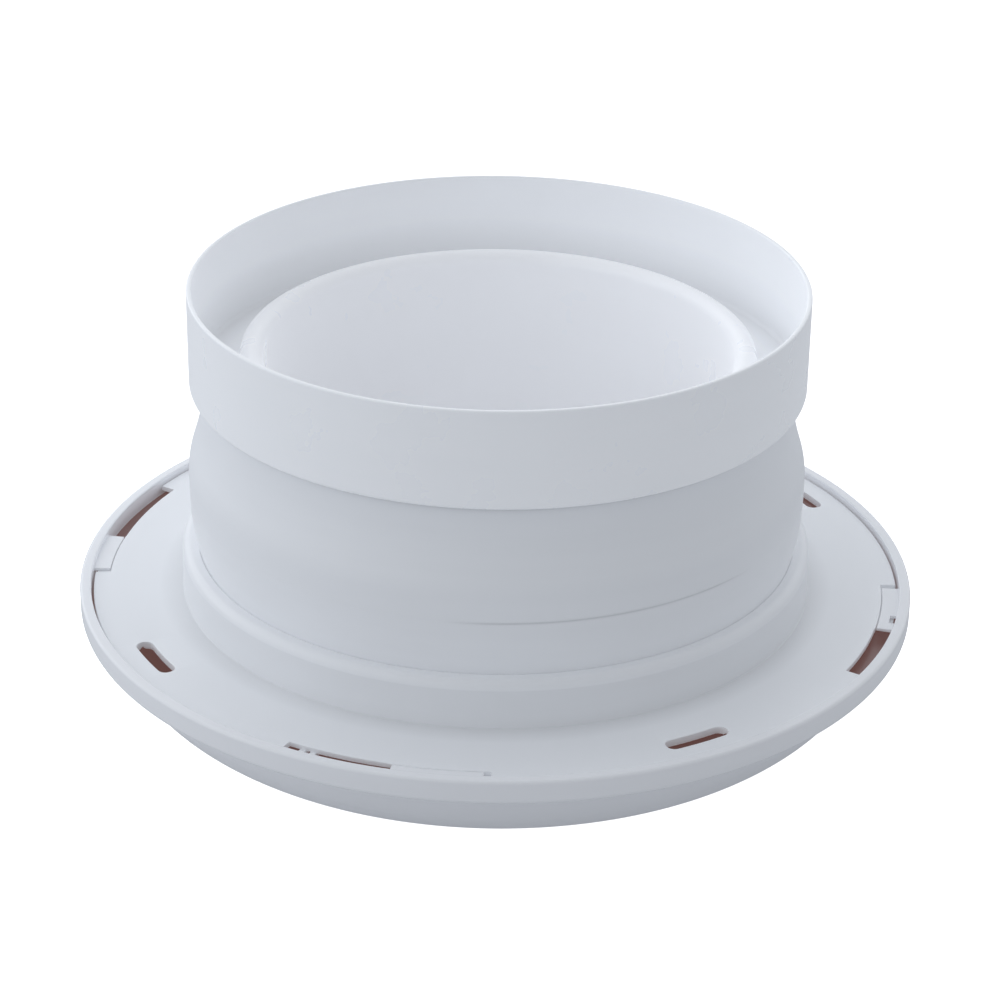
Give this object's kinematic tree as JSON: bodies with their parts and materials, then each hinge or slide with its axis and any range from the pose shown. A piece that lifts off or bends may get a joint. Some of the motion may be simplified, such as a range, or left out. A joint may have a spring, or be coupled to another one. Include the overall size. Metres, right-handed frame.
{
  "type": "round duct vent",
  "caption": "Round duct vent lying on its face: spigot and bulging neck on a slotted mounting plate, twist-off domed front cover and an adjustable centre disc.",
  "frame": {"origin": "on the resting plane under the crown of the front cover, on the axis of the duct", "axes": "+Z along the duct axis from the face towards the spigot; +X and +Y across the plate, with a screw slot 30 degrees from +X"},
  "size_m": [0.2044, 0.2044, 0.1012],
  "materials": {
    "mounting_plate": "satin moulded white ABS",
    "neck_sleeve": "satin moulded white ABS",
    "duct_collar": "satin moulded white ABS",
    "inner_tube": "glossy moulded white ABS",
    "front_cover": "satin moulded white ABS",
    "disc_bridge": "satin moulded white ABS",
    "spindle": "moulded white acetal with a coarse thread",
    "stop_cap": "satin moulded white ABS",
    "centre_disc": "satin moulded white ABS"
  },
  "bodies": {
    "housing": {"mounting_plate": "mounting_plate", "neck_sleeve": "neck_sleeve", "duct_collar": "duct_collar", "inner_tube": "inner_tube"},
    "cover": {"front_cover": "front_cover", "disc_bridge": "disc_bridge"},
    "spindle": {"spindle": "spindle", "stop_cap": "stop_cap"},
    "disc": {"centre_disc": "centre_disc"}
  },
  "joints": [
    {"name": "cover_twist", "type": "hinge", "parent": "housing", "child": "cover", "pos_m": [0, 0, 0.024], "axis": [0, 0, 1], "range_deg": [-13.4, 0]},
    {"name": "disc_travel", "type": "slide", "parent": "cover", "child": "spindle", "axis": [0, 0, -1], "range_m": [0, 0.0121]},
    {"name": "disc_turn", "type": "hinge", "parent": "spindle", "child": "disc", "pos_m": [0, 0, 0.01], "axis": [0, 0, -1], "range_deg": [0, 1080]}
  ],
  "couplings": [
    {"joint": "disc_travel", "follows": "disc_turn", "m_per_rad": 0.00063662}
  ]
}
